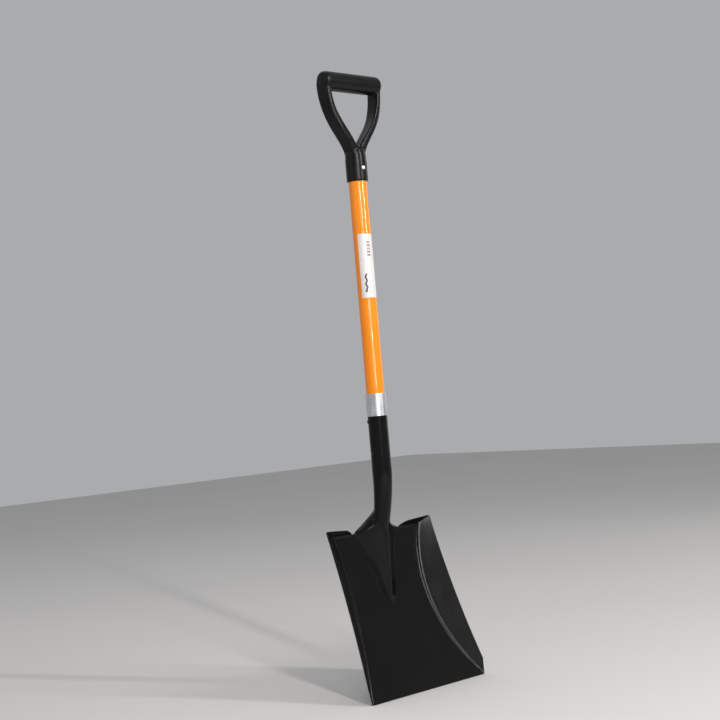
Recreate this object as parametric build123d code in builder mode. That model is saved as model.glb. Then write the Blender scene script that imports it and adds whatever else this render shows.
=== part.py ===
"""Square-mouth shovel with a D handle, standing upright on its mouth.

+Z runs up the shaft and the open side of the pan faces -Y. The origin is on the ground, at the
middle of the shovel's footprint box, so the shaft's axis stands a little behind it. Millimetres.
"""

import os
from math import acos, atan2, cos, exp, radians, sin, sqrt, tan

from build123d import *

# ---- pan: the dished plate between the two folds -------------------------------------------
sheet = 2.0  # steel thickness of the pan
chord_length = 268.0  # from the top bend to the mouth, straight across the dish
lift_angle = 21.3  # between that chord and the shaft
pan_setback = 27.0  # how far the top bend stands behind the shaft's axis
dish_depth = 19.0  # how far the middle of the pan lies behind the chord
fold_top = 95.0  # half-widths of the flat between the folds
fold_middle = 84.0
fold_mouth = 126.0
fold_radius = 5.0  # inside bend radius of the folds
rim_top = 115.7  # half-widths across the side walls' rims
rim_middle = 117.8
rim_mouth = 128.9
rim_rise_top = 14.9  # how far the rims stand in front of the chord
rim_rise_middle = 9.1
rim_rise_mouth = 6.1
rim_stop = 24.8  # the rims end this far short of the mouth, then run down to its corners

# ---- the forward-bent top edge ---------------------------------------------------------------
rear_lean = 22.0  # angle of the rear wall above the chord's normal
rear_height = 16.1  # at the corners
rear_inner_height = 10.9  # where it ends beside the notch
rear_inner_x = 66.5
notch_x = 49.5  # the notch's outer end, level with the bend

# ---- frog: the hollow ridge down the middle of the pan ---------------------------------------
frog_length = 118.0  # from the top bend to the tip
frog_half_width = 29.0
frog_flare = 18.0  # extra half-width at the top bend
frog_flare_fade = 18.0  # the distance over which the flare dies away
frog_setback = 2.0  # the ridge line runs this far behind the shaft's axis
frog_round_top = 14.0  # radius of the ridge at the top bend
frog_round_tip = 3.0
frog_tip_step = 0.6  # the ridge's height where it runs out
frog_tip_share = 0.02  # how blunt the tip is
hollow_depth = 40.0  # the hollow is cut through to this far behind the sheet

# ---- neck and socket ---------------------------------------------------------------------------
socket_wall = 1.7
neck_radius = 14.2  # outside, where the neck meets the pan
neck_setback = 18.0  # of the neck's centre there, behind the shaft's axis
neck_start = 4.0  # the neck's tube starts this far above the top bend
crank_height = 100.0  # the neck bends over this height above the top bend
socket_height = 210.0  # the socket's rim, above the top bend
seam_width = 1.2  # of the open seam down the back of the rolled socket
seam_front = 8.0  # the cut starts this far behind the shaft's axis, between front and back walls
cheek_height = 29.0  # the cheeks run up into the neck over this height above the top bend
cheek_slope = 0.93  # and lean out of the pan by this much of it
cheek_top_half_width = 15.8

# ---- shaft and its cores -----------------------------------------------------------------------
shaft_radius = 15.0
shaft_wall = 3.6
spigot_radius = 14.2  # the lower end, turned down to enter the socket
spigot_length = 108.0
slip = 0.1  # radial clearance of the glued and slipped joints
shaft_length = 503.0  # whole tube, spigot included
lower_core_length = 95.0
upper_core_length = 60.0
core_flange = 2.0  # closes the tube's end

# ---- ferrule -----------------------------------------------------------------------------------
ferrule_wall = 0.85
ferrule_length = 36.6
ferrule_lap = 23.4  # how much of it lies over the socket
ferrule_edge = 0.5

# ---- D handle ----------------------------------------------------------------------------------
handle_insert = 36.0  # the shaft's depth in the handle's socket
handle_wall = 2.5
handle_web = 17.0  # solid plastic between the bore and the crotch
handle_straight = 36.0  # the socket is round for this height above its rim
rim_edge = 0.8
arm_depth = 24.6  # front to back
arm_edge = 4.2  # rounding of the arms' edges
arm_half_width = 61.2  # over both arms
arm_foot_drop = 9.0  # the arms leave the socket this far below the crotch
arm_foot_inset = 2.6  # and start this far inside its surface
arm_foot_pull = 34.4  # how far they run on straight there
arm_head_drop = 2.0  # they stand upright again this far below the grip's axis
arm_head_pull = 75.9
opening_half_width = 50.8
opening_height = 91.5  # from the crotch to the grip's lower side
opening_pull = 40.8
crotch_lead = (19.4, 33.6)  # the way the opening's sides leave the crotch
crotch_round = 5.0
grip_radius = 15.7
grip_half_length = 61.0
grip_bore = 8.5
grip_edge = 5.0  # rounding of its ends

# ---- rivets, end plugs and label -----------------------------------------------------------------
rivet_radius = 2.5
rivet_fit = 0.05  # radial clearance of the rivets in their holes
rivet_head_radius = 3.9
rivet_head_height = 2.2
rivet_above_rim = 21.6
spot_face_radius = 5.4
spot_face_depth = 1.0
washer_radius = 4.8
washer_thickness = 0.9
blind_radius = 2.0
blind_head_radius = 4.0
blind_head_height = 1.5
blind_below_ferrule = 8.6
blind_angle = 128.0  # round from the front towards the left
blind_length = 9.5  # under the head
mandrel_radius = 1.0
mandrel_break = 1.2  # the mandrel ends this far under the top of the head
mandrel_head_radius = 1.7
mandrel_head_length = 2.0
drill_point = 0.5  # the hole is this much deeper than the rivet
plug_ledge = 1.3  # how much wider the plugs' seats are than the bore
plug_fit = 0.05  # radial clearance of the plugs in their seats
plug_depth = 7.0
plug_wall = 2.0
plug_dome = 0.8
label_thickness = 0.2
label_gap = 0.02  # film of glue under the label
label_height = 104.0
label_above_ferrule = 155.5
label_start = -75.0  # its side edges, round from the front towards the right
label_end = 100.0

# ---- sizes that follow -------------------------------------------------------------------------
lift = radians(lift_angle)
pan_top_z = chord_length * cos(lift) + sheet * sin(lift)
pan_front = chord_length * sin(lift) - pan_setback
shaft_y = (pan_front - pan_setback - sheet) / 2
pan_top = Vector(0, shaft_y + pan_setback, pan_top_z)
down_chord = Vector(0, -sin(lift), -cos(lift))
socket_radius = spigot_radius + slip + socket_wall
socket_top_z = pan_top_z + socket_height
shaft_bottom_z = socket_top_z - spigot_length
shaft_top_z = shaft_bottom_z + shaft_length
shaft_bore = shaft_radius - shaft_wall
ferrule_bottom_z = socket_top_z - ferrule_lap
ferrule_top_z = ferrule_bottom_z + ferrule_length
ferrule_radius = socket_radius + slip + ferrule_wall
handle_rim_z = shaft_top_z - handle_insert
handle_radius = shaft_radius + slip + handle_wall
crotch_z = shaft_top_z + core_flange + handle_web
grip_z = crotch_z + opening_height + grip_radius
plug_radius = grip_bore + plug_ledge
rivet_z = handle_rim_z + rivet_above_rim
blind_z = ferrule_bottom_z - blind_below_ferrule
label_z = ferrule_top_z + label_above_ferrule
reach = 400.0  # longer than any cut through the shovel


def through(start, middle, end, part):
    """The parabola through a start, middle and end value, at a part of the way along."""
    return (
        start * (1 - part) * (1 - 2 * part)
        + middle * 4 * part * (1 - part)
        + end * part * (2 * part - 1)
    )


def level(height):
    """A level plane on the shaft's axis, with local Y pointing back."""
    return Plane(origin=(0, shaft_y, height))


def across_pan(along):
    """The plane square to the pan's chord, with local X right and local Y out of the pan."""
    return Plane(origin=pan_top + down_chord * along, x_dir=(1, 0, 0), z_dir=down_chord)


def dish(along):
    """Height of the pan's inner face, from the chord."""
    part = along / chord_length
    return -4 * dish_depth * part * (1 - part)


def rivet_seat(side):
    """The spot face on the front (-1) or back (1) of the handle's socket, facing outwards."""
    seat_y = shaft_y + side * (handle_radius - spot_face_depth)
    return Plane(origin=(0, seat_y, rivet_z), x_dir=(side, 0, 0), z_dir=(0, side, 0))


def grip_end(side):
    """The flat end of the grip on the left (-1) or right (1), facing outwards."""
    return Plane(origin=(side * grip_half_length, shaft_y, grip_z), z_dir=(side, 0, 0))


def cap_middle(radius, height, side, base=0.0):
    """A point halfway round a spherical cap on a seat at base, rising towards side (1 or -1)."""
    ball = (radius**2 + height**2) / (2 * height)
    half_turn = atan2(radius, ball - height) / 2
    return (ball * sin(half_turn), base + side * (height - ball + ball * cos(half_turn)))


def steps(first, last, count):
    """Evenly spaced stations, both ends included."""
    return [first + (last - first) * index / (count - 1) for index in range(count)]


# ---- blade: one pressed sheet ----------------------------------------------------------------
rear_rise = rear_height * sin(radians(rear_lean))
rim_length = chord_length - rim_stop + rear_rise
frog_crest = (pan_setback - frog_setback) / cos(lift)


def pan_section(along):
    """The corners of the sheet's section: base, folds and side walls."""
    part = along / chord_length
    rim_part = (along + rear_rise) / rim_length
    fold_x = through(fold_top, fold_middle, fold_mouth, part)
    rim_x = through(rim_top, rim_middle, rim_mouth, rim_part)
    rim_n = through(rim_rise_top, rim_rise_middle, rim_rise_mouth, rim_part)
    base_n = dish(along)
    slope = atan2(rim_n - base_n, rim_x - fold_x)
    back_x = fold_x + sheet * tan(slope / 2)
    edge_x = rim_x + sheet * sin(slope)
    edge_n = rim_n - sheet * cos(slope)
    right = [(fold_x, base_n), (rim_x, rim_n), (edge_x, edge_n), (back_x, base_n - sheet)]
    left = [(-x, n) for x, n in reversed(right)]
    return right + left


def ridge_outline(crest, rounding, half_width, foot, depth):
    """A ridge's outline: left touch, crest and right touch of its arc, then its feet and floor.

    The flanks run on past the foot by half the sheet, so that they cross its face cleanly.
    """
    centre = crest - rounding
    run = sqrt(half_width**2 + (centre - foot) ** 2)
    turn = atan2(foot - centre, half_width) + acos(rounding / run)
    touch_x = rounding * cos(turn)
    touch_n = centre + rounding * sin(turn)
    foot_x = half_width + sheet / 2 * (half_width - touch_x) / (touch_n - foot)
    foot_n = foot - sheet / 2
    floor = foot_n - depth
    arc = [(-touch_x, touch_n), (0, crest), (touch_x, touch_n)]
    feet = [(foot_x, foot_n), (foot_x, floor), (-foot_x, floor), (-foot_x, foot_n)]
    return arc + feet


def ridge_sizes(along):
    """Crest height, crest radius, half-width and foot of the frog, or of the cheeks above it."""
    if along < 0:
        return cheek_crest, neck_radius, cheek_top_half_width, cheek_foot
    part = along / frog_length
    foot = dish(along)
    crest = max(frog_crest - along * tan(lift), foot + frog_tip_step)
    rounding = frog_round_top + (frog_round_tip - frog_round_top) * part**2
    half_width = frog_half_width * sqrt(max(1 - part**2, frog_tip_share))
    half_width += frog_flare * exp(-along / frog_flare_fade)
    return crest, rounding, half_width, foot


def neck_centre(height):
    """How far the neck's centre lies behind the shaft's axis."""
    bend = max(1 - (height - pan_top_z) / crank_height, 0)
    return neck_setback * bend**2


def neck_outside(height):
    """The neck's outer radius."""
    rise = min((height - pan_top_z) / crank_height, 1)
    return neck_radius + (socket_radius - neck_radius) * rise


rear_angle = radians(rear_lean)
rear_up = down_chord * -sin(rear_angle) + Vector(0, -cos(lift), sin(lift)) * cos(rear_angle)
rear_plane = Plane(
    origin=pan_top, x_dir=(1, 0, 0), z_dir=Vector(1, 0, 0).cross(rear_up)
)
pan_side = Plane(origin=pan_top, x_dir=down_chord, z_dir=(-1, 0, 0))
pan_stations = steps(-2 * rear_rise, chord_length, 9)
ridge_stations = [-cheek_height] + steps(0, frog_length, 10)
cheek_foot = cheek_slope * cheek_height
cheek_top_z = pan_top_z + cheek_height * cos(lift) + cheek_foot * sin(lift)
cheek_crest_y = neck_centre(cheek_top_z + neck_radius / 2) - neck_outside(cheek_top_z)
cheek_crest = (pan_setback + cheek_height * sin(lift) - cheek_crest_y) / cos(lift)
neck_foot_z = pan_top_z + neck_start
crank_top_z = pan_top_z + crank_height
crank_levels = steps(neck_foot_z, crank_top_z, 6)
front = Plane(origin=(0, shaft_y, 0), x_dir=(1, 0, 0), z_dir=(0, -1, 0))
across_grip = Plane(origin=(0, shaft_y, grip_z), z_dir=(1, 0, 0))
blind_out = Vector(-sin(radians(blind_angle)), -cos(radians(blind_angle)), 0)
blind_centre = Vector(0, shaft_y, blind_z)
blind_end = socket_radius - blind_length - mandrel_head_length
blind_seat = blind_centre + blind_out * socket_radius
blind_head = Plane(origin=blind_seat, x_dir=(0, 0, 1), z_dir=blind_out)
blind_side = Plane(origin=blind_seat, x_dir=(0, 0, 1), z_dir=Vector(0, 0, 1).cross(blind_out))
blind_hole = Plane(
    origin=blind_centre + blind_out * (blind_end - drill_point),
    x_dir=(0, 0, 1),
    z_dir=blind_out,
)

os.makedirs("parts", exist_ok=True)

with BuildPart() as blade:
    # The channel: base, folds and side walls, from above the top bend down to the mouth.
    for station in pan_stations:
        with BuildSketch(across_pan(station)) as channel:
            with BuildLine():
                Polyline(pan_section(station), close=True)
            make_face()
            fillet(channel.vertices().sort_by(Axis.Y)[2:4], fold_radius)
            fillet(channel.vertices().sort_by(Axis.Y)[:2], fold_radius + sheet)
    loft()
    # Trimmed along the rear wall's plane, and from the rims down to the mouth's corners.
    with BuildSketch(rear_plane.offset(-sheet)):
        Rectangle(reach, reach)
    extrude(amount=-reach, mode=Mode.SUBTRACT)
    with BuildSketch(pan_side):
        with BuildLine():
            Polyline(
                (chord_length - rim_stop, rim_rise_mouth),
                (chord_length, 0),
                (chord_length + reach, 0),
                (chord_length, rim_rise_mouth * reach / rim_stop),
                close=True,
            )
        make_face()
    extrude(amount=reach, both=True, mode=Mode.SUBTRACT)
    # The top edge, bent forward either side of the notch.
    with BuildSketch(rear_plane):
        with BuildLine():
            Polyline(
                (notch_x, 0),
                (rear_inner_x, rear_inner_height),
                (rim_top, rear_height),
                (fold_top, 0),
                (fold_top, -sheet),
                (notch_x, -sheet),
                close=True,
            )
        make_face()
        mirror(about=Plane.YZ)
    extrude(amount=-sheet)
    # The neck, solid at first: a straight socket, then the crank back to the pan.
    for height in crank_levels:
        with BuildSketch(level(height)):
            with Locations((0, neck_centre(height))):
                Circle(neck_outside(height))
    loft()
    with BuildSketch(level(crank_top_z)):
        Circle(socket_radius)
    extrude(amount=socket_top_z - crank_top_z)
    # The cheeks and the frog, solid at first.
    for station in ridge_stations:
        outline = ridge_outline(*ridge_sizes(station), sheet / 4)
        with BuildSketch(across_pan(station)):
            with BuildLine():
                ThreePointArc(*outline[:3])
                Polyline(*outline[2:], outline[0])
            make_face()
    loft(ruled=True)
    # Hollowed from behind, so that neck and frog are the same sheet as the pan.
    for height in crank_levels:
        with BuildSketch(level(height)):
            with Locations((0, neck_centre(height))):
                Circle(neck_outside(height) - socket_wall)
    loft(mode=Mode.SUBTRACT)
    with BuildSketch(level(crank_top_z)):
        Circle(spigot_radius + slip)
    extrude(amount=reach, mode=Mode.SUBTRACT)
    for station in ridge_stations:
        crest, rounding, half_width, foot = ridge_sizes(station)
        inset = sheet * tan(atan2(crest - foot, half_width) / 2)
        outline = ridge_outline(
            crest - sheet, rounding - sheet, half_width - inset, foot - sheet, hollow_depth
        )
        with BuildSketch(across_pan(station)):
            with BuildLine():
                ThreePointArc(*outline[:3])
                Polyline(*outline[2:], outline[0])
            make_face()
    loft(ruled=True, mode=Mode.SUBTRACT)
    # The seam down the back of the rolled socket, and the blind rivet's hole.
    with BuildSketch(level(neck_foot_z)):
        with Locations((0, seam_front + reach / 2)):
            Rectangle(seam_width, reach)
    extrude(amount=reach, mode=Mode.SUBTRACT)
    with BuildSketch(blind_hole):
        Circle(blind_radius + rivet_fit)
    extrude(amount=reach, mode=Mode.SUBTRACT)
blade.part.label = "blade"
export_step(blade.part, "parts/blade.step")

# ---- ferrule: its inner step sits on the socket's rim ------------------------------------------
with BuildPart() as ferrule:
    with BuildSketch(level(ferrule_bottom_z)):
        Circle(ferrule_radius)
    extrude(amount=ferrule_length)
    fillet(ferrule.edges(), ferrule_edge)
    with BuildSketch(level(ferrule_bottom_z)):
        Circle(socket_radius + slip)
    extrude(amount=ferrule_lap, mode=Mode.SUBTRACT)
    with BuildSketch(level(socket_top_z)):
        Circle(shaft_radius + slip)
    extrude(amount=reach, mode=Mode.SUBTRACT)
ferrule.part.label = "ferrule"
export_step(ferrule.part, "parts/ferrule.step")

# ---- shaft: a tube whose shoulder stands on the socket's rim ------------------------------------
with BuildPart() as shaft:
    with BuildSketch(level(shaft_bottom_z)):
        Circle(spigot_radius)
    extrude(amount=spigot_length)
    with BuildSketch(level(socket_top_z)):
        Circle(shaft_radius)
    extrude(amount=shaft_length - spigot_length)
    with BuildSketch(level(shaft_bottom_z)):
        Circle(shaft_bore)
    extrude(amount=shaft_length, mode=Mode.SUBTRACT)
    with BuildSketch(blind_hole):
        Circle(blind_radius + rivet_fit)
    extrude(amount=reach, mode=Mode.SUBTRACT)
    with BuildSketch(front):
        with Locations((0, rivet_z)):
            Circle(rivet_radius + rivet_fit)
    extrude(amount=reach, both=True, mode=Mode.SUBTRACT)
shaft.part.label = "shaft"
export_step(shaft.part, "parts/shaft.step")

# ---- cores: plugs that keep the tube's ends round under the rivets ------------------------------
with BuildPart() as lower_core_plug:
    with BuildSketch(level(shaft_bottom_z)):
        Circle(shaft_bore - slip)
    extrude(amount=lower_core_length)
    with BuildSketch(level(shaft_bottom_z)):
        Circle(spigot_radius)
    extrude(amount=-core_flange)
    with BuildSketch(blind_hole):
        Circle(blind_radius + rivet_fit)
    extrude(amount=reach, mode=Mode.SUBTRACT)
lower_core_plug.part.label = "lower_core_plug"
export_step(lower_core_plug.part, "parts/lower_core_plug.step")

with BuildPart() as upper_core_plug:
    with BuildSketch(level(shaft_top_z)):
        Circle(shaft_bore - slip)
    extrude(amount=-upper_core_length)
    with BuildSketch(level(shaft_top_z)):
        Circle(shaft_radius)
    extrude(amount=core_flange)
    with BuildSketch(front):
        with Locations((0, rivet_z)):
            Circle(rivet_radius + rivet_fit)
    extrude(amount=reach, both=True, mode=Mode.SUBTRACT)
upper_core_plug.part.label = "upper_core_plug"
export_step(upper_core_plug.part, "parts/upper_core_plug.step")

# ---- D handle: one moulding of socket, arms and hollow grip --------------------------------------
arm_foot = (handle_radius - arm_foot_inset, crotch_z - arm_foot_drop)
arm_head = (arm_half_width, grip_z - arm_head_drop)
opening_top = (opening_half_width, grip_z - grip_radius)
arm_half_depth = arm_depth / 2

with BuildPart() as d_handle:
    with BuildSketch(front) as d_outline:
        with BuildLine():
            Bezier(
                arm_foot,
                (arm_foot[0], arm_foot[1] + arm_foot_pull),
                (arm_head[0], arm_head[1] - arm_head_pull),
                arm_head,
            )
            Polyline(
                arm_head,
                (arm_half_width, grip_z),
                (0, grip_z),
                (0, arm_foot[1]),
                arm_foot,
            )
        make_face()
        with BuildLine():
            Bezier(
                (0, crotch_z),
                (crotch_lead[0], crotch_z + crotch_lead[1]),
                (opening_top[0], opening_top[1] - opening_pull),
                opening_top,
            )
            Polyline(
                opening_top,
                (opening_half_width, grip_z),
                (0, grip_z),
                (0, crotch_z),
            )
        make_face(mode=Mode.SUBTRACT)
        mirror(about=Plane.YZ)
        fillet(
            d_outline.vertices().sort_by_distance((0, crotch_z, 0))[0], crotch_round
        )
    extrude(amount=arm_half_depth, both=True)
    front_and_back = d_handle.faces().filter_by(Axis.Y).edges()
    fillet(front_and_back.filter_by(GeomType.LINE, reverse=True), arm_edge)
    # The round socket, drawn in to the arms' depth below the crotch.
    with BuildSketch(level(handle_rim_z)):
        Circle(handle_radius)
    extrude(amount=handle_straight)
    with BuildSketch(level(handle_rim_z + handle_straight)):
        Ellipse(handle_radius, handle_radius)
    with BuildSketch(level(crotch_z)):
        Ellipse(handle_radius, arm_half_depth)
    loft()
    chamfer(d_handle.faces().sort_by(Axis.Z)[0].edges(), rim_edge)
    # The grip, hollow from end to end and stepped out for its plugs.
    with BuildSketch(front) as grip_profile:
        with Locations((0, grip_z + grip_radius / 2)):
            Rectangle(2 * grip_half_length, grip_radius)
        fillet(grip_profile.vertices().group_by(Axis.Y)[-1], grip_edge)
    revolve(axis=Axis((0, shaft_y, grip_z), (1, 0, 0)))
    with BuildSketch(across_grip):
        Circle(grip_bore)
    extrude(amount=reach, both=True, mode=Mode.SUBTRACT)
    for side in (-1, 1):
        with BuildSketch(grip_end(side).offset(-plug_depth)):
            Circle(plug_radius)
        extrude(amount=reach, mode=Mode.SUBTRACT)
    # The shaft's bore, the rivet's hole and its spot faces.
    with BuildSketch(level(handle_rim_z)):
        Circle(shaft_radius + slip)
    extrude(amount=handle_insert + core_flange, mode=Mode.SUBTRACT)
    with BuildSketch(front) as rivet_hole:
        with Locations((0, rivet_z)):
            Circle(rivet_radius + rivet_fit)
    extrude(amount=reach, both=True, mode=Mode.SUBTRACT)
    for side in (-1, 1):
        with BuildSketch(rivet_seat(side)):
            Circle(spot_face_radius)
        extrude(amount=handle_radius, mode=Mode.SUBTRACT)
d_handle.part.label = "d_handle"
export_step(d_handle.part, "parts/d_handle.step")

# ---- end plugs: domed cups pressed into the ends of the grip --------------------------------------
plug_fit_radius = plug_radius - plug_fit
for side, name in ((-1, "grip_end_plug_left"), (1, "grip_end_plug_right")):
    with BuildPart() as plug:
        with BuildSketch(grip_end(side)):
            Circle(plug_fit_radius)
        extrude(amount=-plug_depth)
        with BuildSketch(Plane(origin=grip_end(side).origin, x_dir=(0, 1, 0), z_dir=(0, 0, 1))):
            with BuildLine():
                ThreePointArc(
                    (plug_fit_radius, 0),
                    cap_middle(plug_fit_radius, plug_dome, -side),
                    (0, -side * plug_dome),
                )
                Polyline((0, -side * plug_dome), (0, 0), (plug_fit_radius, 0))
            make_face()
        revolve(axis=Axis(grip_end(side).origin, (1, 0, 0)))
        with BuildSketch(grip_end(side).offset(-plug_depth)):
            Circle(plug_fit_radius - plug_wall)
        extrude(amount=plug_depth - plug_wall, mode=Mode.SUBTRACT)
    plug.part.label = name
    export_step(plug.part, f"parts/{name}.step")

# ---- the handle's rivet, headed in front and upset over a washer at the back -----------------------
seat = handle_radius - spot_face_depth
with BuildPart() as handle_rivet:
    with BuildSketch(level(rivet_z)):
        with BuildLine():
            Polyline((0, -seat), (0, -seat - rivet_head_height))
            ThreePointArc(
                (0, -seat - rivet_head_height),
                cap_middle(rivet_head_radius, rivet_head_height, -1, -seat),
                (rivet_head_radius, -seat),
            )
            Polyline((rivet_head_radius, -seat), (0, -seat))
        make_face()
        with BuildLine():
            upset = seat + washer_thickness
            Polyline((rivet_head_radius, upset), (0, upset), (0, upset + rivet_head_height))
            ThreePointArc(
                (0, upset + rivet_head_height),
                cap_middle(rivet_head_radius, rivet_head_height, 1, upset),
                (rivet_head_radius, upset),
            )
        make_face()
        Polygon((0, -seat), (rivet_radius, -seat), (rivet_radius, upset), (0, upset), align=None)
    revolve(axis=Axis((0, shaft_y, rivet_z), (0, 1, 0)))
handle_rivet.part.label = "handle_rivet"
export_step(handle_rivet.part, "parts/handle_rivet.step")

with BuildPart() as handle_rivet_washer:
    with BuildSketch(rivet_seat(1)):
        Circle(washer_radius)
        Circle(rivet_radius + rivet_fit, mode=Mode.SUBTRACT)
    extrude(amount=washer_thickness)
handle_rivet_washer.part.label = "handle_rivet_washer"
export_step(handle_rivet_washer.part, "parts/handle_rivet_washer.step")

# ---- the blind rivet through the socket and the shaft's spigot -------------------------------------
with BuildPart() as socket_rivet:
    with BuildSketch(blind_side):
        with BuildLine():
            Polyline((0, 0), (0, blind_head_height))
            ThreePointArc(
                (0, blind_head_height),
                cap_middle(blind_head_radius, blind_head_height, 1),
                (blind_head_radius, 0),
            )
            Polyline((blind_head_radius, 0), (0, 0))
        make_face()
    revolve(axis=Axis(blind_seat, blind_out))
    with BuildSketch(blind_head):
        Circle(blind_radius)
    extrude(amount=-blind_length)
    with BuildSketch(blind_head):
        Circle(mandrel_radius + rivet_fit)
    extrude(amount=reach, both=True, mode=Mode.SUBTRACT)
socket_rivet.part.label = "socket_rivet"
export_step(socket_rivet.part, "parts/socket_rivet.step")

with BuildPart() as socket_rivet_mandrel:
    with BuildSketch(blind_head.offset(-blind_length)):
        Circle(mandrel_radius)
    extrude(amount=blind_length + blind_head_height - mandrel_break)
    with BuildSketch(blind_head.offset(-blind_length)):
        Circle(mandrel_head_radius)
    extrude(amount=-mandrel_head_length)
socket_rivet_mandrel.part.label = "socket_rivet_mandrel"
export_step(socket_rivet_mandrel.part, "parts/socket_rivet_mandrel.step")

# ---- label: wrapped round the front and right of the shaft ------------------------------------------
label_inside = shaft_radius + label_gap
with BuildPart() as label:
    with BuildSketch(level(label_z)):
        with BuildLine():
            inner = CenterArc((0, 0), label_inside, label_start - 90, label_end - label_start)
            outer = CenterArc(
                (0, 0), label_inside + label_thickness, label_start - 90, label_end - label_start
            )
            Line(inner @ 0, outer @ 0)
            Line(inner @ 1, outer @ 1)
        make_face()
    extrude(amount=label_height)
label.part.label = "label"
export_step(label.part, "parts/label.step")
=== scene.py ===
"""Looks for the square-mouth shovel: pressed blade, moulded handle, materials, studio, camera."""

from math import acos, atan2, cos, exp, pi, radians, sin, sqrt, tan

import bmesh
import bpy
from mathutils import Matrix, Vector


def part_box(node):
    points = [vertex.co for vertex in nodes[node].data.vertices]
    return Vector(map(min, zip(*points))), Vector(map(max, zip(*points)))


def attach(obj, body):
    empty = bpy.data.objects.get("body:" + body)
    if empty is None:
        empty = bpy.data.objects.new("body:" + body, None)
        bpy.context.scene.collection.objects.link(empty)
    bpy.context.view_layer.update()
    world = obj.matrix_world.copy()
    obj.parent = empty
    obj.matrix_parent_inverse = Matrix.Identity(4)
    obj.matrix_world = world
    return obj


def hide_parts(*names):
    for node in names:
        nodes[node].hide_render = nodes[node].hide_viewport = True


MM = 0.001

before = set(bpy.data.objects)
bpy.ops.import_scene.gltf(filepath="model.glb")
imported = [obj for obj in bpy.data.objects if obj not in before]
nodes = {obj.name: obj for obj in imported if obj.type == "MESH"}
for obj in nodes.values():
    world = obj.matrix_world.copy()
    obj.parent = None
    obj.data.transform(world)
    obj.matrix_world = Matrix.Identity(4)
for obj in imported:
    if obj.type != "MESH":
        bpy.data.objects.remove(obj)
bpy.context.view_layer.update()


# ---- blade: the sheet's sizes, in millimetres, as in the CAD source ------------------------------
SHEET = 2.0
NECK_SHEET = 1.7
CHORD = 268.0
LIFT = radians(21.3)
PAN_SETBACK = 27.0
DISH = 19.0
FOLD_X = (95.0, 84.0, 126.0)
REAR_CORNER_X = 115.7
REAR_CORNER_N = 14.93
RIM_X = (REAR_CORNER_X, 117.8, 128.9)
RIM_N = (REAR_CORNER_N, 9.1, 6.1)
RIM_STOP = 24.8
REAR_LEAN = radians(22.0)
REAR_INNER_N = 10.1
REAR_INNER_X = 66.5
NOTCH_X = 49.5
REAR_RADIUS = 8.0
REAR_EASE = 2.5
FOLD_RADIUS_TOP = 16.0
FOLD_RADIUS_MOUTH = 7.0
FROG_LENGTH = 122.0
FROG_SETBACK = 2.0
FROG_CREST = (PAN_SETBACK - FROG_SETBACK) / cos(LIFT)
FROG_HALF_WIDTH = 29.0
FROG_FLARE = 18.0
FROG_FLARE_FADE = 18.0
FROG_ROUND_TOP = 14.0
FROG_ROUND_TIP = 3.0
FROG_FOOT_ROUND = 8.0
FROG_FOOT_MARGIN = 2.3
CREST_LIFT = FROG_CREST * sin(LIFT)
CREST_RAISE = 0.8
# The neck, by height above the top bend: where its sheet's edges close up, and a swaged ring.
EDGE_START_X = 47.0
EDGE_CLOSES = 48.0
EDGE_BULGE = 0.6
NECK_STARTS_TO_CLOSE = 34.0
NECK_CLOSES_OVER = 24.0
CRANK = 100.0
SOCKET_HEIGHT = 210.0
NECK_FOOT_RADIUS = 14.2
NECK_RING_RADIUS = 14.0
NECK_TOP_RADIUS = 16.0
NECK_SETBACK = 18.0
NECK_EASE = 3.0
SEAM_HALF = 0.6
SWAGE_LOW = 123.5
SWAGE_HIGH = 128.0
SWAGE_DEPTH = 0.25
SWAGE_EASE = 1.5

shaft_low, shaft_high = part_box("shaft")
blade_low, blade_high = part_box("blade")
SHAFT_Y = (shaft_low.y + shaft_high.y) / 2 / MM
PAN_TOP_Z = blade_high.z / MM - SOCKET_HEIGHT


def dish(s):
    """Height of the pan's inner face from the chord, at a distance down it."""
    part = s / CHORD
    return -4 * DISH * part * (1 - part)


def through(values, part):
    """The parabola through a start, middle and end value, at a part of the way along."""
    start, middle, end = values
    return (
        start * (1 - part) * (1 - 2 * part)
        + middle * 4 * part * (1 - part)
        + end * part * (2 * part - 1)
    )


def pan_point(x, s, n):
    """From across, down the chord and out of the pan to the row frame."""
    y = SHAFT_Y + PAN_SETBACK - s * sin(LIFT) - n * cos(LIFT)
    z = PAN_TOP_Z - s * cos(LIFT) + n * sin(LIFT)
    return Vector((x, y, z))


def side_profile(level, s):
    """(x, n) on the right fold and side wall. Level 0 to 1 is the fold, 1 to 2 the wall."""
    rim_part = (s + REAR_CORNER_N * tan(REAR_LEAN)) / (
        CHORD - RIM_STOP + REAR_CORNER_N * tan(REAR_LEAN)
    )
    fold_x = through(FOLD_X, s / CHORD)
    rim_x = through(RIM_X, rim_part)
    rim_n = through(RIM_N, rim_part)
    base = dish(s)
    slope = atan2(rim_n - base, rim_x - fold_x)
    radius = FOLD_RADIUS_TOP + (FOLD_RADIUS_MOUTH - FOLD_RADIUS_TOP) * max(s, 0) / CHORD
    turn = slope * min(level, 1.0)
    x = fold_x + radius * (sin(turn) - tan(slope / 2))
    n = base + radius * (1 - cos(turn))
    wall = max(level - 1.0, 0.0)
    return x + (rim_x - x) * wall, n + (rim_n - n) * wall


REAR_START_SLOPE = radians(15.8)
REAR_TANGENT = REAR_RADIUS * tan((pi / 2 - REAR_LEAN - REAR_START_SLOPE) / 2)
BASE_TOP_S = REAR_TANGENT * cos(REAR_START_SLOPE)
BASE_TOP_N = dish(BASE_TOP_S)


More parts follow.
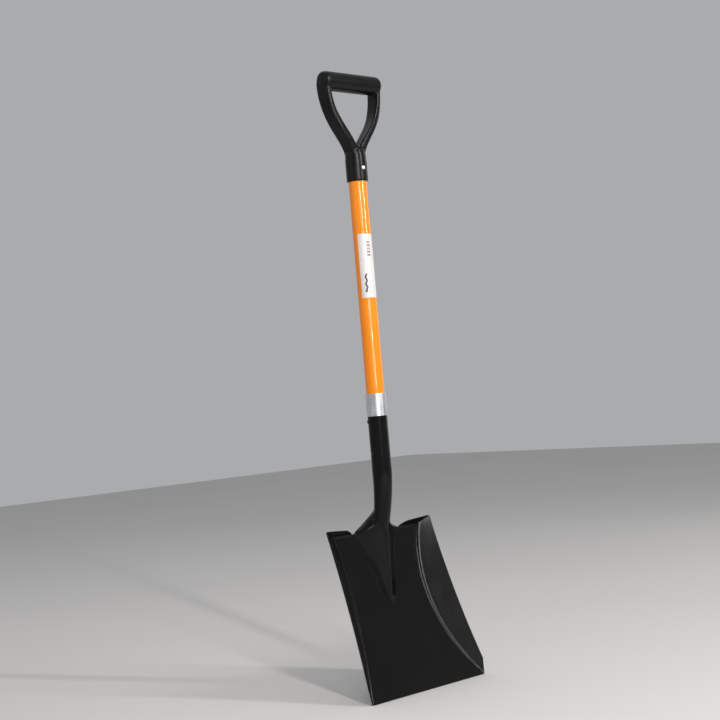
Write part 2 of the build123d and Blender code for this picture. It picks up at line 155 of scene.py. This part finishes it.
def rear_s(n):
    """Where the rear bend and rear wall lie, along the chord, at a height out of the pan."""
    bend_top = BASE_TOP_N + REAR_RADIUS * (cos(REAR_START_SLOPE) - cos(pi / 2 - REAR_LEAN))
    if n >= bend_top:
        return -n * tan(REAR_LEAN)
    turn = acos(min(cos(REAR_START_SLOPE) - (n - BASE_TOP_N) / REAR_RADIUS, 1.0))
    return BASE_TOP_S - REAR_RADIUS * (sin(turn) - sin(REAR_START_SLOPE))


def rear_height(x):
    """The rear wall's height at a distance from the middle, its two straight edges eased."""
    first = REAR_INNER_N * (x - NOTCH_X) / (REAR_INNER_X - NOTCH_X)
    second = REAR_INNER_N + (REAR_CORNER_N - REAR_INNER_N) * (x - REAR_INNER_X) / (
        REAR_CORNER_X - REAR_INNER_X
    )
    near = max(REAR_EASE - abs(first - second), 0) / REAR_EASE
    return max(min(first, second) - near * near * REAR_EASE / 4, 0.0)


def ridge_half(radius, turn, flank, fillet, back_turn, flat, count):
    """Evenly spaced (x, drop) from a ridge's crest outwards: arc, flank, reversed arc and flat."""
    arc = radius * turn
    bend = fillet * back_turn
    total = arc + flank + bend + flat
    points = []
    for index in range(count + 1):
        left = total * index / count
        step = min(left, arc)
        x = radius * sin(step / radius)
        drop = radius * (1 - cos(step / radius))
        left -= step
        step = min(left, flank)
        x += cos(turn) * step
        drop += sin(turn) * step
        left -= step
        step = min(left, bend)
        angle = turn - step / fillet
        x += fillet * (sin(turn) - sin(angle))
        drop += fillet * (cos(angle) - cos(turn))
        left -= step
        x += cos(turn - back_turn) * left
        drop += sin(turn - back_turn) * left
        points.append((x, drop))
    return points


def frog_shape(s):
    """What ridge_half needs for the frog, at a distance down the chord."""
    part = min(s / FROG_LENGTH, 1.0)
    raw = FROG_CREST + CREST_RAISE - s * tan(LIFT) - dish(s)
    drop = 0.5 * (raw + sqrt(raw * raw + 0.3)) - 0.02
    radius = FROG_ROUND_TOP + (FROG_ROUND_TIP - FROG_ROUND_TOP) * part**2
    half_width = FROG_HALF_WIDTH * sqrt(max(1 - part**2, 0.01))
    half_width += FROG_FLARE * exp(-s / FROG_FLARE_FADE)
    run = sqrt(half_width**2 + (drop - radius) ** 2)
    turn = pi / 2 - (atan2(radius - drop, half_width) + acos(min(radius / run, 1.0)))
    flank = sqrt(max(run**2 - radius**2, 0.0))
    fillet = min(FROG_FOOT_ROUND, 0.6 * flank / max(tan(turn / 2), 1e-4))
    return radius, turn, flank - fillet * tan(turn / 2), fillet, turn, FROG_FOOT_MARGIN


def neck_front(height):
    """How far the neck's front line lies behind the shaft's axis, by height above the top bend."""
    part = min(height / CRANK, 1)
    neck = NECK_FOOT_RADIUS + (NECK_TOP_RADIUS - NECK_FOOT_RADIUS) * part
    neck -= NECK_SETBACK * (1 - part) ** 2
    frog = -FROG_SETBACK
    near = max(NECK_EASE - abs(neck - frog), 0) / NECK_EASE
    return -(max(neck, frog) + near * near * NECK_EASE / 4)


def smooth(value):
    """Eased step from 0 to 1."""
    value = min(max(value, 0.0), 1.0)
    return value * value * (3 - 2 * value)


def neck_ring(height, count):
    """Half a ring of the neck as (x, back) from its front line, and how far the ring leans back."""
    share = min(max((height - CREST_LIFT) / (CRANK - CREST_LIFT), 0), 1)
    radius = NECK_RING_RADIUS + (NECK_TOP_RADIUS - NECK_RING_RADIUS) * share
    swage = smooth((height - SWAGE_LOW) / SWAGE_EASE) - smooth((height - SWAGE_HIGH) / SWAGE_EASE)
    radius -= SWAGE_DEPTH * swage
    lean = LIFT * (1 - share)
    # The sheet's free edge: beside the frog at the top bend, then round to the seam at the back.
    closing = min(max((height - CREST_LIFT) / (EDGE_CLOSES - CREST_LIFT), 0), 1)
    edge_x = SEAM_HALF + (EDGE_START_X - SEAM_HALF) * (1 - closing) * (1 - closing**2.5)
    behind = PAN_SETBACK + EDGE_BULGE * smooth((height - CREST_LIFT) / 8)
    open_back = (behind - neck_front(height)) / cos(lean)
    shut = smooth((height - NECK_STARTS_TO_CLOSE) / NECK_CLOSES_OVER)
    edge_back = open_back + (2 * radius - open_back) * shut
    run = max(sqrt(edge_x**2 + (edge_back - radius) ** 2), radius)
    turn = pi / 2 - (atan2(radius - edge_back, edge_x) + acos(radius / run))
    flank = sqrt(run**2 - radius**2)
    fade = (1 - closing) ** 4
    start = frog_shape(0.0)
    fillet = start[3]
    back_turn = turn * fade
    flank = max(flank - fillet * tan(back_turn / 2), 0.0)
    points = ridge_half(radius, turn, flank, fillet, back_turn, start[5] * fade, count)
    return points, lean


def spaced(*spans):
    """Stations from (first, last, step) spans that follow on from each other."""
    stations = []
    for first, last, step in spans:
        count = max(round(abs(last - first) / step), 1)
        stations += [first + (last - first) * index / count for index in range(count)]
    return stations + [spans[-1][1]]


FROG_COLUMNS = 30
BASE_COLUMNS = 16
FOLD_LEVELS = 10
WALL_LEVELS = 6


def blade_sheet():
    """The sheet's front face as one surface, then its back face and rim."""
    mesh = bmesh.new()
    rows = spaced((BASE_TOP_S, 96, 3), (96, 124, 1.2), (124, CHORD, 4))
    levels = [index / FOLD_LEVELS for index in range(FOLD_LEVELS + 1)]
    levels += [1 + index / WALL_LEVELS for index in range(1, WALL_LEVELS + 1)]

    def grid(table, flip=False):
        """Faces between rows of points."""
        made = [[mesh.verts.new(point) for point in line] for line in table]
        for line, below in zip(made, made[1:]):
            for index in range(len(line) - 1):
                corners = [line[index], below[index], below[index + 1], line[index + 1]]
                mesh.faces.new(corners[::-1] if flip else corners)

    # The pan's middle, with the frog.
    frog_edges = []
    table = []
    for s in rows:
        shape = frog_shape(s)
        if s > FROG_LENGTH:
            # Below the frog its strip of columns widens, to keep them even.
            growth = smooth((s - FROG_LENGTH) / 100.0)
            shape = shape[:5] + (shape[5] + 12.0 * growth,)
        half = ridge_half(*shape, FROG_COLUMNS)
        crest = dish(s) + half[-1][1]
        right = [pan_point(x, s, crest - drop) for x, drop in half]
        left = [pan_point(-x, s, crest - drop) for x, drop in half[:0:-1]]
        table.append(left + right)
        frog_edges.append(half[-1][0])
    grid(table)
    # Where each level meets the rear wall, and where it ends at the mouth.
    meet = []
    for level in levels:
        s = 0.0
        for _ in range(12):
            s = rear_s(side_profile(level, s)[1])
        meet.append(s)
    mouth = []
    for level in levels:
        low, high = CHORD - 2 * RIM_STOP, CHORD
        for _ in range(40):
            middle = (low + high) / 2
            cut = RIM_N[2] * (CHORD - middle) / RIM_STOP
            if side_profile(level, middle)[1] < cut:
                low = middle
            else:
                high = middle
        mouth.append(high if level > 0 else CHORD)
    # The flats, the folds with the side walls, and the rear wall, right and left.
    for side in (1, -1):
        flats = []
        for s, edge in zip(rows, frog_edges):
            fold = side_profile(0, s)[0]
            flats.append(
                [
                    pan_point(side * (edge + (fold - edge) * column / BASE_COLUMNS), s, dish(s))
                    for column in range(BASE_COLUMNS + 1)
                ]
            )
        grid(flats, flip=side < 0)
        walls = []
        for s in rows:
            share = (s - rows[0]) / (CHORD - rows[0])
            line = []
            for level, top, bottom in zip(levels, meet, mouth):
                station = top + (bottom - top) * share
                x, n = side_profile(level, station)
                line.append(pan_point(side * x, station, n))
            walls.append(line)
        grid(walls, flip=side < 0)
        rear = []
        for level, s in zip(levels, meet):
            x_meet, n_meet = side_profile(level, s)
            line = []
            for column in range(BASE_COLUMNS + 1):
                x = frog_edges[0] + (x_meet - frog_edges[0]) * column / BASE_COLUMNS
                rise = (n_meet - BASE_TOP_N) * rear_height(x) / REAR_CORNER_N
                if column == BASE_COLUMNS:
                    rise = n_meet - BASE_TOP_N
                if level == 0:
                    rise = 0
                n = BASE_TOP_N + rise
                line.append(pan_point(side * x, rear_s(n), n))
            rear.append(line)
        grid(rear, flip=side > 0)
    # The cheeks and the neck, rolling up into a closed tube.
    rings = spaced((CREST_LIFT, 64, 1.8), (64, 122, 3), (122, 131, 0.75), (131, SOCKET_HEIGHT, 4))
    neck = [table[0]]
    for height in rings:
        half, lean = neck_ring(height, FROG_COLUMNS)
        y = SHAFT_Y + neck_front(height)
        z = PAN_TOP_Z + height
        right = [Vector((x, y + back * cos(lean), z - back * sin(lean))) for x, back in half]
        left = [Vector((-p.x, p.y, p.z)) for p in right[:0:-1]]
        neck.append(left + right)
    grid(neck, flip=True)
    bmesh.ops.remove_doubles(mesh, verts=mesh.verts, dist=0.02)
    mesh.normal_update()
    # The back face, a sheet's thickness behind, square to the chord at the mouth.
    front_faces = list(mesh.faces)
    front_verts = list(mesh.verts)
    rim = [edge for edge in mesh.edges if len(edge.link_faces) == 1]
    down = Vector((0, -sin(LIFT), -cos(LIFT)))
    mouth_foot = pan_point(0, CHORD, 0)
    backs = {}
    for vert in front_verts:
        normal = vert.normal.copy()
        if abs((vert.co - mouth_foot).dot(down)) < 0.3:
            normal -= down * normal.dot(down)
            normal.normalize()
        above = vert.co.z - PAN_TOP_Z
        wall = SHEET + (NECK_SHEET - SHEET) * smooth((above - 20) / 40)
        if above > SOCKET_HEIGHT - 0.5:
            normal.z = 0
            normal.normalize()
        backs[vert] = mesh.verts.new(vert.co - normal * wall)
    for face in front_faces:
        mesh.faces.new([backs[vert] for vert in reversed(face.verts)])
    for edge in rim:
        face = edge.link_faces[0]
        for loop in face.loops:
            if loop.edge == edge:
                first, second = loop.vert, loop.link_loop_next.vert
        mesh.faces.new([second, first, backs[first], backs[second]])
    mesh.normal_update()
    return mesh


def finish_mesh(mesh, name, sharp=40.0):
    """A millimetre bmesh made into a smooth-shaded object in metres."""
    data = bpy.data.meshes.new(name)
    mesh.to_mesh(data)
    mesh.free()
    data.transform(Matrix.Scale(MM, 4))
    data.polygons.foreach_set("use_smooth", [True] * len(data.polygons))
    data.set_sharp_from_angle(angle=radians(sharp))
    piece = bpy.data.objects.new(name, data)
    bpy.context.scene.collection.objects.link(piece)
    return piece


blade = finish_mesh(blade_sheet(), "blade_pressing")
soften = blade.modifiers.new("rim", "BEVEL")
soften.width = 0.5 * MM
soften.segments = 2
soften.limit_method = "ANGLE"
soften.angle_limit = radians(60)
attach(blade, "root")
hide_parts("blade")


# ---- D handle: arms, grip and socket melted into one moulding ------------------------------------
grip_low, grip_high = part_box("d_handle")
GRIP_RADIUS = 15.7
GRIP_Z = grip_high.z / MM - GRIP_RADIUS
GRIP_HALF = 61.0
SOCKET_RIM_Z = grip_low.z / MM
SOCKET_RADIUS = 17.6
CROTCH_Z = SOCKET_RIM_Z + 54.98  # where the two arms' inner edges meet
FOOT_Z = CROTCH_Z - 9.0
ARM_HALF_WIDTH = 61.0
ARM_FRONT = 12.0  # how far the arms reach forward and back of the shaft's axis
ARM_BACK = 12.7
OPENING_HALF_WIDTH = 50.8
GRIP_EDGE = 6.0
GRIP_BORE = 8.5
PLUG_SEAT_RADIUS = 9.8
PLUG_DEPTH = 7.0
BORE_RADIUS = 15.1
BORE_DEPTH = 38
RECESS_RADIUS = 5.4
RECESS_DEPTH = 1.0
RIVET_HOLE_RADIUS = 2.55
ARM_STEPS = 44
# The outer and inner edge of an arm, as cubic curves in (x, z).
ARM_OUTER = (
    (12.5, FOOT_Z - 8),
    (17.5, FOOT_Z + 32),
    (ARM_HALF_WIDTH, GRIP_Z - 77.9),
    (ARM_HALF_WIDTH, GRIP_Z - 2.0),
)
ARM_INNER = (
    (0.0, CROTCH_Z),
    (22.5, CROTCH_Z + 33.6),
    (OPENING_HALF_WIDTH, GRIP_Z - GRIP_RADIUS - 40.8),
    (OPENING_HALF_WIDTH, GRIP_Z - 2.0),
)
VOXEL = 0.75
SMOOTHING = 40


def bezier(points, part):
    """A point on a cubic curve in (x, z)."""
    rest = 1 - part
    weights = (rest**3, 3 * rest**2 * part, 3 * rest * part**2, part**3)
    return Vector(sum(w * p[axis] for w, p in zip(weights, points)) for axis in (0, 1))


def rounded_section(half_thick, front, back, corners, count=8):
    """(thickness, depth) round a section whose four corners are quarter ellipses.

    The corners are outer back, inner back, inner front and outer front, each (thickness, depth).
    """
    points = []
    ways = ((1, back), (-1, back), (-1, -front), (1, -front))
    for turn, ((across, end), (wide, long)) in enumerate(zip(ways, corners)):
        wide = min(wide, 0.95 * half_thick)
        middle_deep = end - long if end > 0 else end + long
        for index in range(count + 1):
            angle = (turn + index / count) * pi / 2
            x = across * (half_thick - wide) + wide * cos(angle)
            points.append((x, middle_deep + long * sin(angle)))
    return points


def skin(mesh, rings):
    """Closed tube through rings of points, with flat ends."""
    made = [[mesh.verts.new(point) for point in ring] for ring in rings]
    for ring, after in zip(made, made[1:]):
        for index in range(len(ring)):
            near = (index + 1) % len(ring)
            mesh.faces.new((ring[index], ring[near], after[near], after[index]))
    mesh.faces.new(made[0][::-1])
    mesh.faces.new(made[-1])


def arm(mesh, side):
    """One arm, from inside the socket up into the grip, as deep as the grip where it joins it."""
    rings = []
    for index in range(ARM_STEPS + 1):
        part = index / ARM_STEPS
        out, ins = bezier(ARM_OUTER, part), bezier(ARM_INNER, part)
        middle, across = (out + ins) / 2, (out - ins)
        # 1 at the grip, 1 over the lower arm and 1 at the foot, each fading to 0.
        flare = smooth((part - 0.62) / 0.38)
        low = smooth((0.75 - part) / 0.35)
        foot = 1.6 * smooth((0.3 - part) / 0.3)
        corners = (
            (3.4 + foot, 3.4 + foot),
            (5.0 + 4.5 * low, 5.0 + 13.0 * low),
            (2.6 + foot, 2.6 + foot),
            (4.0 + 2.4 * flare + foot, 4.0 + 4.0 * flare + foot),
        )
        front, back = ARM_FRONT + 1.3 * low - 0.8 * foot, ARM_BACK + 2.7 * flare
        ring = []
        for thick, deep in rounded_section(across.length / 2, front, back, corners):
            flat = middle + across.normalized() * thick
            ring.append(Vector((side * flat.x, SHAFT_Y + deep, flat.y)))
        rings.append(ring if side > 0 else ring[::-1])
    skin(mesh, rings)


def turned(mesh, profile, origin, axis, count=64):
    """A solid of revolution: profile is (along the axis, radius), from one end to the other."""
    turn = axis.to_track_quat("Z", "Y").to_matrix()
    rings = []
    for along, radius in profile:
        ring = []
        for index in range(count):
            angle = 2 * pi * index / count
            local = Vector((radius * cos(angle), radius * sin(angle), along))
            ring.append(origin + turn @ local)
        rings.append(ring)
    skin(mesh, rings)


def eased_end(along, radius, edge, direction, count=6):
    """Profile points round a turned solid's end: direction is -1 for its start, 1 for its end."""
    points = []
    for index in range(count + 1):
        angle = pi / 2 * index / count
        back_off = direction * edge * (1 - cos(angle))
        points.append((along - back_off, radius - edge * (1 - sin(angle))))
    return points if direction < 0 else points[::-1]


def handle_blank():
    """Both arms, the grip and the socket as overlapping closed solids, before they are melted."""
    mesh = bmesh.new()
    arm(mesh, 1)
    arm(mesh, -1)
    grip = eased_end(-GRIP_HALF, GRIP_RADIUS, GRIP_EDGE, -1)
    grip += eased_end(GRIP_HALF, GRIP_RADIUS, GRIP_EDGE, 1)
    turned(mesh, grip, Vector((0, SHAFT_Y, GRIP_Z)), Vector((1, 0, 0)))
    length = CROTCH_Z - SOCKET_RIM_Z
    socket = eased_end(0, SOCKET_RADIUS, 1.6, -1)
    socket += [(length - 22, SOCKET_RADIUS), (length - 10, 16.9)]
    socket += [(length - 2, 14.6), (length + 3, 10.0)]
    turned(mesh, socket, Vector((0, SHAFT_Y, SOCKET_RIM_Z)), Vector((0, 0, 1)))
    return mesh


def settle(piece):
    """Applies the piece's modifiers, so that its mesh is final."""
    graph = bpy.context.evaluated_depsgraph_get()
    done = bpy.data.meshes.new_from_object(piece.evaluated_get(graph))
    piece.modifiers.clear()
    piece.data = done


def cutter(name, start, end, radius, origin, axis):
    """A cylinder to cut with, from start to end along its axis through the origin."""
    mesh = bmesh.new()
    turned(mesh, [(start, radius), (end, radius)], origin, axis, 96)
    return finish_mesh(mesh, name)


handle = finish_mesh(handle_blank(), "handle_moulding", 180)
melt = handle.modifiers.new("melt", "REMESH")
melt.mode = "VOXEL"
melt.voxel_size = VOXEL * MM
relax = handle.modifiers.new("relax", "SMOOTH")
relax.factor = 0.5
relax.iterations = SMOOTHING
settle(handle)
rivet_low, rivet_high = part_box("handle_rivet")
RIVET_Z = (rivet_low.z + rivet_high.z) / 2 / MM
RIVET_CENTRE = Vector((0, SHAFT_Y, RIVET_Z))
SOCKET_RIM = Vector((0, SHAFT_Y, SOCKET_RIM_Z))
GRIP_CENTRE = Vector((0, SHAFT_Y, GRIP_Z))
ACROSS, BACK, UP = Vector((1, 0, 0)), Vector((0, 1, 0)), Vector((0, 0, 1))
recess_seat = SOCKET_RADIUS - RECESS_DEPTH
front_seat = Vector((0, SHAFT_Y - recess_seat, RIVET_Z))
back_seat = Vector((0, SHAFT_Y + recess_seat, RIVET_Z))
tools = [
    cutter("bore", -5, BORE_DEPTH, BORE_RADIUS, SOCKET_RIM, UP),
    cutter("front_recess", 0, 12, RECESS_RADIUS, front_seat, -BACK),
    cutter("back_recess", 0, 12, RECESS_RADIUS, back_seat, BACK),
    cutter("rivet_hole", -30, 30, RIVET_HOLE_RADIUS, RIVET_CENTRE, BACK),
    cutter("grip_bore", -70, 70, GRIP_BORE, GRIP_CENTRE, ACROSS),
]
for side in (-1, 1):
    end = Vector((side * (GRIP_HALF - PLUG_DEPTH), SHAFT_Y, GRIP_Z))
    tools.append(cutter("plug_seat", 0, 20, PLUG_SEAT_RADIUS, end, Vector((side, 0, 0))))
for tool in tools:
    cut = handle.modifiers.new("cut", "BOOLEAN")
    cut.operation = "DIFFERENCE"
    cut.object = tool
    cut.solver = "EXACT"
settle(handle)
for tool in tools:
    bpy.data.objects.remove(tool)
handle.data.polygons.foreach_set("use_smooth", [True] * len(handle.data.polygons))
handle.data.set_sharp_from_angle(angle=radians(48))
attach(handle, "root")
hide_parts("d_handle")


# ---- materials -----------------------------------------------------------------------------------
class Finish:
    """A node material with one Principled shader, and helpers that add nodes to it."""

    def __init__(self, name, **sockets):
        self.material = bpy.data.materials.new(name)
        self.material.use_nodes = True
        self.tree = self.material.node_tree
        self.shader = next(n for n in self.tree.nodes if n.type == "BSDF_PRINCIPLED")
        for socket, value in sockets.items():
            self.shader.inputs[socket.replace("_", " ")].default_value = value
        self.place = self.node("ShaderNodeTexCoord").outputs["Object"]

    def node(self, kind, **inputs):
        """A new node with its named inputs fed."""
        made = self.tree.nodes.new(kind)
        for socket, value in inputs.items():
            self.put(made.inputs[socket.replace("_", " ")], value)
        return made

    def put(self, socket, value):
        """Links an output to the socket, or sets the socket to a number or colour."""
        if isinstance(value, bpy.types.NodeSocket):
            self.tree.links.new(value, socket)
        else:
            socket.default_value = value

    def use(self, socket, value):
        """Feeds one of the shader's sockets."""
        self.put(self.shader.inputs[socket], value)

    def noise(self, scale, detail=3.0, stretch=(1, 1, 1), roughness=0.5):
        """Noise through the piece, in metres; stretch below 1 draws it out along that axis."""
        mapped = self.node("ShaderNodeMapping", Vector=self.place, Scale=stretch)
        made = self.node(
            "ShaderNodeTexNoise",
            Vector=mapped.outputs[0],
            Scale=scale,
            Detail=detail,
            Roughness=roughness,
        )
        return made.outputs["Fac"]

    def ramp(self, value, *stops):
        """Colours by value, from (position, colour) stops."""
        made = self.node("ShaderNodeValToRGB", Fac=value)
        band = made.color_ramp.elements
        while len(band) < len(stops):
            band.new(0.5)
        for element, (position, color) in zip(band, stops):
            element.position = position
            element.color = (*color, 1) if len(color) == 3 else color
        return made.outputs["Color"]

    def spread(self, value, low, high, start=0.3, end=0.7):
        """Carries values between start and end over to low and high."""
        made = self.node("ShaderNodeMapRange", Value=value)
        for socket, number in (
            ("From Min", start),
            ("From Max", end),
            ("To Min", low),
            ("To Max", high),
        ):
            made.inputs[socket].default_value = number
        return made.outputs["Result"]

    def math(self, operation, first, second=0.0):
        """One sum of sockets or numbers."""
        made = self.tree.nodes.new("ShaderNodeMath")
        made.operation = operation
        self.put(made.inputs[0], first)
        self.put(made.inputs[1], second)
        return made.outputs[0]

    def band(self, value, middle, half):
        """1 where the value lies within half of the middle, else 0."""
        off = self.math("ABSOLUTE", self.math("SUBTRACT", value, middle))
        return self.math("LESS_THAN", off, half)

    def bump(self, height, distance, strength=1.0, under=None):
        """Relief from a height, over any relief under it."""
        made = self.node("ShaderNodeBump", Height=height, Distance=distance, Strength=strength)
        if under is not None:
            self.put(made.inputs["Normal"], under)
        return made.outputs["Normal"]

    def wear(self, objects):
        """Gives the objects this finish in place of their own."""
        for piece in objects:
            piece.data.materials.clear()
            piece.data.materials.append(self.material)


def black_coat():
    finish = Finish("black_powder_coat", Specular_IOR_Level=0.17)
    cloud = finish.noise(9.0, 4.0)
    grain = finish.noise(900.0, 2.0)
    finish.use(
        "Base Color",
        finish.ramp(cloud, (0.3, (0.0030, 0.0030, 0.0034)), (0.7, (0.0050, 0.0048, 0.0050))),
    )
    streak = finish.noise(60.0, 3.0, (1.0, 1.0, 0.06))
    mixed = finish.math("ADD", finish.spread(cloud, 0.11, 0.14), finish.spread(streak, 0.0, 0.03))
    finish.use("Roughness", mixed)
    dents = finish.bump(finish.noise(26.0, 2.0), 0.0009, 0.12)
    finish.use("Normal", finish.bump(grain, 0.00006, 0.12, dents))
    return finish


def galvanised():
    finish = Finish("galvanised_steel", Metallic=1.0)
    streak = finish.noise(300.0, 4.0, (1.0, 1.0, 0.03), 0.6)
    spangle = finish.noise(45.0, 2.0)
    finish.use(
        "Base Color",
        finish.ramp(streak, (0.3, (0.48, 0.50, 0.53)), (0.7, (0.86, 0.88, 0.90))),
    )
    finish.use("Roughness", finish.spread(spangle, 0.24, 0.42))
    finish.use("Normal", finish.bump(streak, 0.00018, 0.5))
    return finish


def orange_paint():
    finish = Finish(
        "orange_gloss_paint", Coat_Weight=0.9, Coat_Roughness=0.05, Specular_IOR_Level=0.1
    )
    cloud = finish.noise(14.0, 3.0)
    finish.use(
        "Base Color",
        finish.ramp(cloud, (0.25, (0.84, 0.228, 0.0006)), (0.75, (0.89, 0.255, 0.0010))),
    )
    finish.use("Roughness", finish.spread(cloud, 0.26, 0.36))
    finish.use("Normal", finish.bump(finish.noise(120.0, 2.0), 0.0001, 0.06))
    return finish


def black_plastic():
    finish = Finish("black_moulded_plastic", Specular_IOR_Level=0.22)
    cloud = finish.noise(22.0, 3.0)
    finish.use(
        "Base Color",
        finish.ramp(cloud, (0.3, (0.0032, 0.0032, 0.0034)), (0.7, (0.0052, 0.0052, 0.0052))),
    )
    finish.use("Roughness", finish.spread(cloud, 0.24, 0.32))
    flow = finish.bump(finish.noise(70.0, 2.0, (1.0, 1.0, 0.4)), 0.0006, 0.06)
    finish.use("Normal", finish.bump(finish.noise(700.0, 2.0), 0.00006, 0.12, flow))
    return finish


def rivet_finish(name, low, high, metallic, roughness):
    finish = Finish(name, Metallic=metallic)
    cloud = finish.noise(420.0, 3.0)
    finish.use("Base Color", finish.ramp(cloud, (0.3, low), (0.7, high)))
    finish.use("Roughness", finish.spread(cloud, roughness, roughness + 0.14))
    finish.use("Normal", finish.bump(cloud, 0.0001, 0.3))
    return finish


def core_wood():
    finish = Finish("core_plug_wood", Roughness=0.7)
    rings = finish.noise(120.0, 4.0, (1.0, 1.0, 0.05), 0.6)
    finish.use(
        "Base Color",
        finish.ramp(rings, (0.3, (0.36, 0.22, 0.10)), (0.7, (0.58, 0.40, 0.22))),
    )
    finish.use("Normal", finish.bump(rings, 0.0003, 0.4))
    return finish


def sticker():
    finish = Finish("printed_sticker", Coat_Weight=0.3, Coat_Roughness=0.2)
    paper = finish.noise(160.0, 2.0)
    low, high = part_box("label")
    parts = finish.node("ShaderNodeSeparateXYZ", Vector=finish.place).outputs
    ahead = finish.math("SUBTRACT", SHAFT_Y * MM, parts["Y"])
    turn = finish.math("ARCTAN2", parts["X"], ahead)
    down = finish.math("DIVIDE", finish.math("SUBTRACT", high.z, parts["Z"]), high.z - low.z)
    rows = finish.math("FRACT", finish.math("MULTIPLY", down, 20.0))
    rows = finish.math("GREATER_THAN", rows, 0.4)
    dashes = finish.math("MULTIPLY", rows, finish.band(down, 0.235, 0.125))
    dashes = finish.math("MULTIPLY", dashes, finish.band(turn, radians(-10), radians(11)))
    dashes = finish.math("MULTIPLY", dashes, 0.5)
    wave = finish.math("MULTIPLY", finish.math("SINE", finish.math("MULTIPLY", down, 58.0)), 0.06)
    bar = finish.band(finish.math("ADD", turn, wave), radians(-40), radians(6))
    bar = finish.math("MULTIPLY", bar, finish.band(down, 0.77, 0.145))
    ink = finish.math("MAXIMUM", dashes, bar)
    finish.use(
        "Base Color",
        finish.ramp(
            finish.math("ADD", finish.math("MULTIPLY", paper, 0.4), ink),
            (0.12, (0.62, 0.595, 0.585)),
            (0.28, (0.67, 0.645, 0.635)),
            (0.9, (0.030, 0.027, 0.034)),
        ),
    )
    finish.use("Roughness", finish.spread(paper, 0.38, 0.5))
    finish.use("Normal", finish.bump(paper, 0.00006, 0.3))
    return finish


black_coat().wear([blade])
galvanised().wear([nodes["ferrule"]])
orange_paint().wear([nodes["shaft"]])
black_plastic().wear([handle, nodes["grip_end_plug_left"], nodes["grip_end_plug_right"]])
rivet_finish("bright_rivet", (0.84, 0.84, 0.84), (0.96, 0.96, 0.96), 1.0, 0.34).wear(
    [nodes["handle_rivet"], nodes["handle_rivet_washer"]]
)
rivet_finish("black_rivet", (0.010, 0.010, 0.010), (0.018, 0.018, 0.018), 0.0, 0.35).wear(
    [nodes["socket_rivet"]]
)
rivet_finish("mandrel_steel", (0.30, 0.30, 0.31), (0.50, 0.50, 0.52), 1.0, 0.35).wear(
    [nodes["socket_rivet_mandrel"]]
)
core_wood().wear([nodes["lower_core_plug"], nodes["upper_core_plug"]])
sticker().wear([nodes["label"]])


# ---- studio --------------------------------------------------------------------------------------
def flat_material(name, color, roughness):
    finish = Finish(name, Roughness=roughness, Specular_IOR_Level=0.2)
    cloud = finish.noise(1.2, 2.0)
    finish.use(
        "Base Color",
        finish.ramp(cloud, (0.3, color), (0.7, tuple(c * 1.03 for c in color))),
    )
    return finish


floor_mesh = bmesh.new()
bmesh.ops.create_grid(floor_mesh, x_segments=8, y_segments=8, size=6000.0)
floor = finish_mesh(floor_mesh, "floor")
floor.location.z = blade_low.z
flat_material("pale_floor", (0.62, 0.61, 0.60), 0.8).wear([floor])

world = bpy.data.worlds.new("studio")
world.use_nodes = True
world.node_tree.nodes["Background"].inputs["Color"].default_value = (0.96, 0.97, 1.0, 1)
world.node_tree.nodes["Background"].inputs["Strength"].default_value = 0.42
bpy.context.scene.world = world

TARGET = Vector((0, 0, 0.5))


def panel(name, azimuth, elevation, distance, size, power):
    """A soft rectangular light that faces the shovel, azimuth round from the front to the right."""
    light = bpy.data.lights.new(name, "AREA")
    light.shape = "RECTANGLE"
    light.size, light.size_y = size
    light.energy = power
    light.color = (1.0, 0.985, 0.96)
    lamp = bpy.data.objects.new(name, light)
    a, e = radians(azimuth), radians(elevation)
    out = Vector((sin(a) * cos(e), -cos(a) * cos(e), sin(e)))
    lamp.location = TARGET + out * distance
    lamp.rotation_euler = (-out).to_track_quat("-Z", "Y").to_euler()
    bpy.context.scene.collection.objects.link(lamp)


panel("key", -22, 20, 2.6, (0.07, 1.9), 38)
panel("second", 19, 26, 2.6, (0.06, 1.7), 32)
panel("wall", -38, 15, 2.8, (0.40, 1.5), 8)
panel("edge", 88, 12, 2.6, (0.08, 1.6), 4)
panel("fill", -100, 25, 3.0, (1.6, 1.6), 4)
panel("top", 170, 70, 3.0, (2.0, 2.0), 16)

# ---- camera: to the front left, level with the middle of the shaft -------------------------------
camera_data = bpy.data.cameras.new("camera")
camera_data.sensor_width = 36.0
camera_data.lens = 71.284
camera = bpy.data.objects.new("camera", camera_data)
bpy.context.scene.collection.objects.link(camera)
heading, pitch, roll = radians(43.0), radians(1.459), radians(4.824)
ahead = Vector((sin(heading) * cos(pitch), cos(heading) * cos(pitch), sin(pitch)))
level_right = Vector((cos(heading), -sin(heading), 0))
level_up = level_right.cross(ahead)
right = level_right * cos(roll) - level_up * sin(roll)
up = right.cross(ahead)
camera.rotation_mode = "QUATERNION"
camera.rotation_quaternion = Matrix((right, up, -ahead)).transposed().to_quaternion()
camera.location = (-1.5958, -1.6606, 0.4709)
bpy.context.scene.camera = camera

bpy.context.scene.view_settings.view_transform = "Standard"
